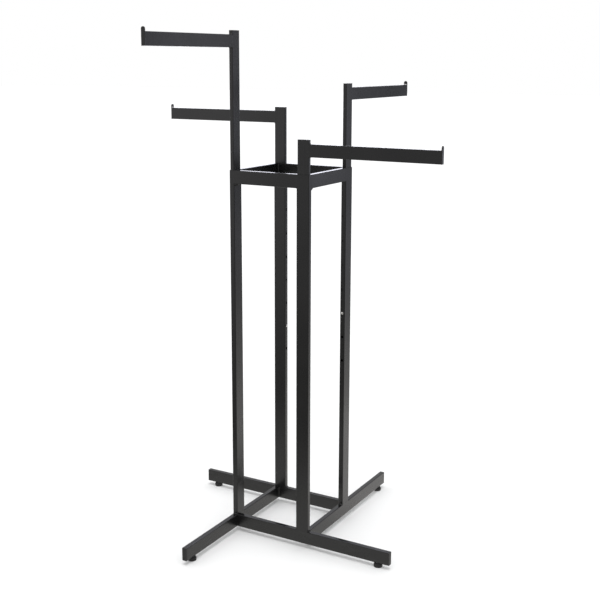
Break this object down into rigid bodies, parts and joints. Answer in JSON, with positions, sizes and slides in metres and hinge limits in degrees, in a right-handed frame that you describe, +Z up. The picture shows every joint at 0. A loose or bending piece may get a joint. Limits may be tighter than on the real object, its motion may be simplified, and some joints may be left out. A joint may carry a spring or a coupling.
{
  "type": "clothing rack",
  "caption": "Black steel garment display rack: a square frame of tube posts on pinwheel floor legs, with telescoping uprights that carry straight hanging arms, held by snap buttons.",
  "frame": {"origin": "on the floor, at the centre of the square frame, which is also the centre of the overall box's footprint", "axes": "+Z up. +X is the direction in which the right arm and right leg point, -Y the direction of the front arm and front leg; back is +Y and left is -X"},
  "size_m": [1.072, 1.072, 1.5438],
  "materials": {
    "black_steel": "smooth satin black powder coat",
    "black_plastic": "moulded, fine satin grain",
    "zinc_steel": "bright zinc plate",
    "bright_steel": "polished nickel plate",
    "spring_steel": "plain spring strip"
  },
  "bodies": {
    "frame": {"right_leg": "black_steel", "back_leg": "black_steel", "left_leg": "black_steel", "front_leg": "black_steel", "right_leg_cap": "black_plastic", "back_leg_cap": "black_plastic", "left_leg_cap": "black_plastic", "front_leg_cap": "black_plastic", "right_foot_insert": "zinc_steel", "back_foot_insert": "zinc_steel", "left_foot_insert": "zinc_steel", "front_foot_insert": "zinc_steel", "right_post": "black_steel", "back_post": "black_steel", "left_post": "black_steel", "front_post": "black_steel", "right_rail": "black_steel", "back_rail": "black_steel", "left_rail": "black_steel", "front_rail": "black_steel"},
    "right_arm_assembly": {"right_upright": "black_steel", "right_upright_cap": "black_plastic", "right_arm": "black_steel", "right_arm_end": "black_steel", "right_spring": "spring_steel"},
    "right_snap_button": {"right_button": "bright_steel"},
    "right_foot": {"right_foot_stud": "zinc_steel", "right_foot_pad": "black_plastic"},
    "back_arm_assembly": {"back_upright": "black_steel", "back_upright_cap": "black_plastic", "back_arm": "black_steel", "back_arm_end": "black_steel", "back_spring": "spring_steel"},
    "back_snap_button": {"back_button": "bright_steel"},
    "back_foot": {"back_foot_stud": "zinc_steel", "back_foot_pad": "black_plastic"},
    "left_arm_assembly": {"left_upright": "black_steel", "left_upright_cap": "black_plastic", "left_arm": "black_steel", "left_arm_end": "black_steel", "left_spring": "spring_steel"},
    "left_snap_button": {"left_button": "bright_steel"},
    "left_foot": {"left_foot_stud": "zinc_steel", "left_foot_pad": "black_plastic"},
    "front_arm_assembly": {"front_upright": "black_steel", "front_upright_cap": "black_plastic", "front_arm": "black_steel", "front_arm_end": "black_steel", "front_spring": "spring_steel"},
    "front_snap_button": {"front_button": "bright_steel"},
    "front_foot": {"front_foot_stud": "zinc_steel", "front_foot_pad": "black_plastic"}
  },
  "joints": [
    {"name": "right_height", "type": "slide", "parent": "frame", "child": "right_arm_assembly", "axis": [0, 0, 1], "range_m": [0, 0.4572]},
    {"name": "back_height", "type": "slide", "parent": "frame", "child": "back_arm_assembly", "axis": [0, 0, 1], "range_m": [-0.1524, 0.3048]},
    {"name": "left_height", "type": "slide", "parent": "frame", "child": "left_arm_assembly", "axis": [0, 0, 1], "range_m": [-0.0762, 0.381]},
    {"name": "front_height", "type": "slide", "parent": "frame", "child": "front_arm_assembly", "axis": [0, 0, 1], "range_m": [-0.3048, 0.1524]},
    {"name": "right_button_press", "type": "slide", "parent": "right_arm_assembly", "child": "right_snap_button", "axis": [1, 0, 0], "range_m": [0, 0.005], "stiffness_N_per_m": 2000, "springref_m": -0.002, "deforming": ["right_spring"]},
    {"name": "back_button_press", "type": "slide", "parent": "back_arm_assembly", "child": "back_snap_button", "axis": [0, 1, 0], "range_m": [0, 0.005], "stiffness_N_per_m": 2000, "springref_m": -0.002, "deforming": ["back_spring"]},
    {"name": "left_button_press", "type": "slide", "parent": "left_arm_assembly", "child": "left_snap_button", "axis": [-1, 0, 0], "range_m": [0, 0.005], "stiffness_N_per_m": 2000, "springref_m": -0.002, "deforming": ["left_spring"]},
    {"name": "front_button_press", "type": "slide", "parent": "front_arm_assembly", "child": "front_snap_button", "axis": [0, -1, 0], "range_m": [0, 0.005], "stiffness_N_per_m": 2000, "springref_m": -0.002, "deforming": ["front_spring"]},
    {"name": "right_foot_level", "type": "slide", "parent": "frame", "child": "right_foot", "axis": [0, 0, -1], "range_m": [0, 0.01]},
    {"name": "back_foot_level", "type": "slide", "parent": "frame", "child": "back_foot", "axis": [0, 0, -1], "range_m": [0, 0.01]},
    {"name": "left_foot_level", "type": "slide", "parent": "frame", "child": "left_foot", "axis": [0, 0, -1], "range_m": [0, 0.01]},
    {"name": "front_foot_level", "type": "slide", "parent": "frame", "child": "front_foot", "axis": [0, 0, -1], "range_m": [0, 0.01]}
  ]
}
